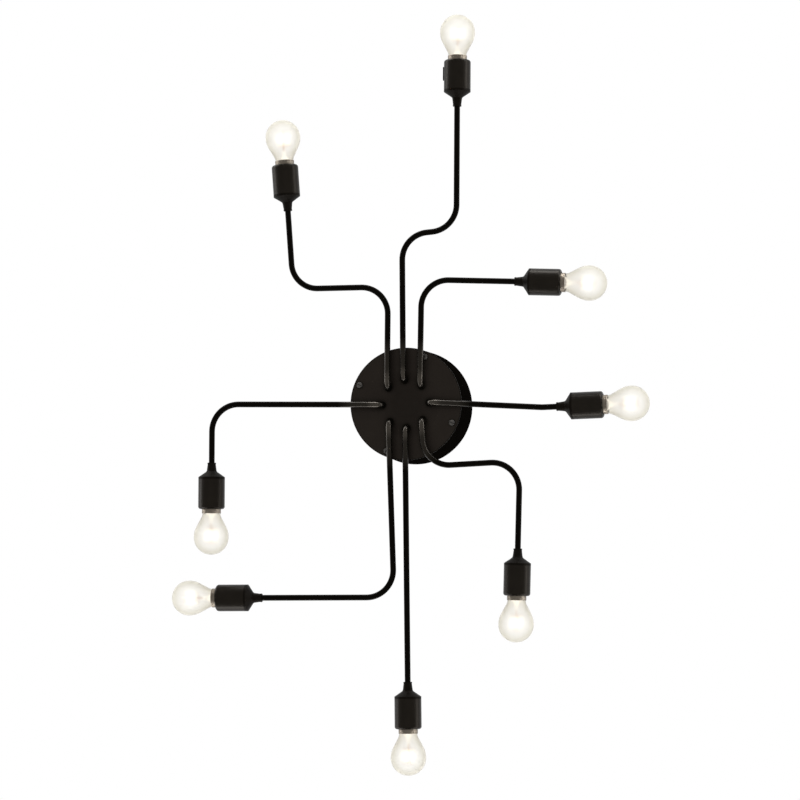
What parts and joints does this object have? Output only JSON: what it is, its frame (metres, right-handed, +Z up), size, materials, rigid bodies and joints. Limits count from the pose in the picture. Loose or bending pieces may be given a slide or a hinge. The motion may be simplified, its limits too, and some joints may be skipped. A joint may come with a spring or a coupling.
{
  "type": "semi-flush ceiling light",
  "caption": "Semi-flush ceiling light with a round black canopy and thin bent tube arms spread in one plane, each ending in a black lampholder with a round glass bulb.",
  "frame": {"origin": "middle of the canopy's ceiling face, on the axis of the cable entry", "axes": "+Z up into the ceiling; seen from below with +X to the right, +Y points down the picture"},
  "size_m": [0.6611, 1.0383, 0.1179],
  "materials": {
    "canopy_black": "satin",
    "screw_black": "satin",
    "arm_black": "satin",
    "holder_black": "satin",
    "grommet_rubber": "matte",
    "block_nylon": "matte",
    "zinc_steel": "zinc plated",
    "lead_sheath": "matte",
    "socket_insulator": "matte",
    "socket_brass": "bright",
    "bulb_glass": "clear, lit",
    "bulb_metal": "nickel plated",
    "filament_phosphor": "lit"
  },
  "bodies": {
    "fixture": {"ceiling_pan": "canopy_black", "arm_plate": "canopy_black", "plate_screws": "screw_black", "cable_grommet": "grommet_rubber", "junction_block": "block_nylon", "pan_screws": "zinc_steel", "arm_nuts": "zinc_steel", "lamp_leads": "lead_sheath", "contact_blocks": "socket_insulator", "screw_shells": "socket_brass", "centre_contacts": "socket_brass", "arm_1": "arm_black", "lampholder_cap_1": "holder_black", "lampholder_body_1": "holder_black", "arm_2": "arm_black", "lampholder_cap_2": "holder_black", "lampholder_body_2": "holder_black", "arm_3": "arm_black", "lampholder_cap_3": "holder_black", "lampholder_body_3": "holder_black", "arm_4": "arm_black", "lampholder_cap_4": "holder_black", "lampholder_body_4": "holder_black", "arm_5": "arm_black", "lampholder_cap_5": "holder_black", "lampholder_body_5": "holder_black", "arm_6": "arm_black", "lampholder_cap_6": "holder_black", "lampholder_body_6": "holder_black", "arm_7": "arm_black", "lampholder_cap_7": "holder_black", "lampholder_body_7": "holder_black", "arm_8": "arm_black", "lampholder_cap_8": "holder_black", "lampholder_body_8": "holder_black"},
    "bulb_1": {"bulb_glass_1": "bulb_glass", "bulb_base_1": "bulb_metal", "bulb_filament_1": "filament_phosphor"},
    "bulb_2": {"bulb_glass_2": "bulb_glass", "bulb_base_2": "bulb_metal", "bulb_filament_2": "filament_phosphor"},
    "bulb_3": {"bulb_glass_3": "bulb_glass", "bulb_base_3": "bulb_metal", "bulb_filament_3": "filament_phosphor"},
    "bulb_4": {"bulb_glass_4": "bulb_glass", "bulb_base_4": "bulb_metal", "bulb_filament_4": "filament_phosphor"},
    "bulb_5": {"bulb_glass_5": "bulb_glass", "bulb_base_5": "bulb_metal", "bulb_filament_5": "filament_phosphor"},
    "bulb_6": {"bulb_glass_6": "bulb_glass", "bulb_base_6": "bulb_metal", "bulb_filament_6": "filament_phosphor"},
    "bulb_7": {"bulb_glass_7": "bulb_glass", "bulb_base_7": "bulb_metal", "bulb_filament_7": "filament_phosphor"},
    "bulb_8": {"bulb_glass_8": "bulb_glass", "bulb_base_8": "bulb_metal", "bulb_filament_8": "filament_phosphor"}
  },
  "joints": [
    {"name": "bulb_1_out", "type": "slide", "parent": "fixture", "child": "bulb_1", "axis": [0.007, -1, 0], "range_m": [0, 0.025]},
    {"name": "bulb_2_out", "type": "slide", "parent": "fixture", "child": "bulb_2", "axis": [0.9992, 0.0401, 0], "range_m": [0, 0.025]},
    {"name": "bulb_3_out", "type": "slide", "parent": "fixture", "child": "bulb_3", "axis": [0.9995, -0.0314, 0], "range_m": [0, 0.025]},
    {"name": "bulb_4_out", "type": "slide", "parent": "fixture", "child": "bulb_4", "axis": [-0.0262, 0.9997, 0], "range_m": [0, 0.025]},
    {"name": "bulb_5_out", "type": "slide", "parent": "fixture", "child": "bulb_5", "axis": [0.0105, 0.9999, 0], "range_m": [0, 0.025]},
    {"name": "bulb_6_out", "type": "slide", "parent": "fixture", "child": "bulb_6", "axis": [-1, 0.0017, 0], "range_m": [0, 0.025]},
    {"name": "bulb_7_out", "type": "slide", "parent": "fixture", "child": "bulb_7", "axis": [-0.0035, 1, 0], "range_m": [0, 0.025]},
    {"name": "bulb_8_out", "type": "slide", "parent": "fixture", "child": "bulb_8", "axis": [-0.0715, -0.9974, 0], "range_m": [0, 0.025]}
  ]
}
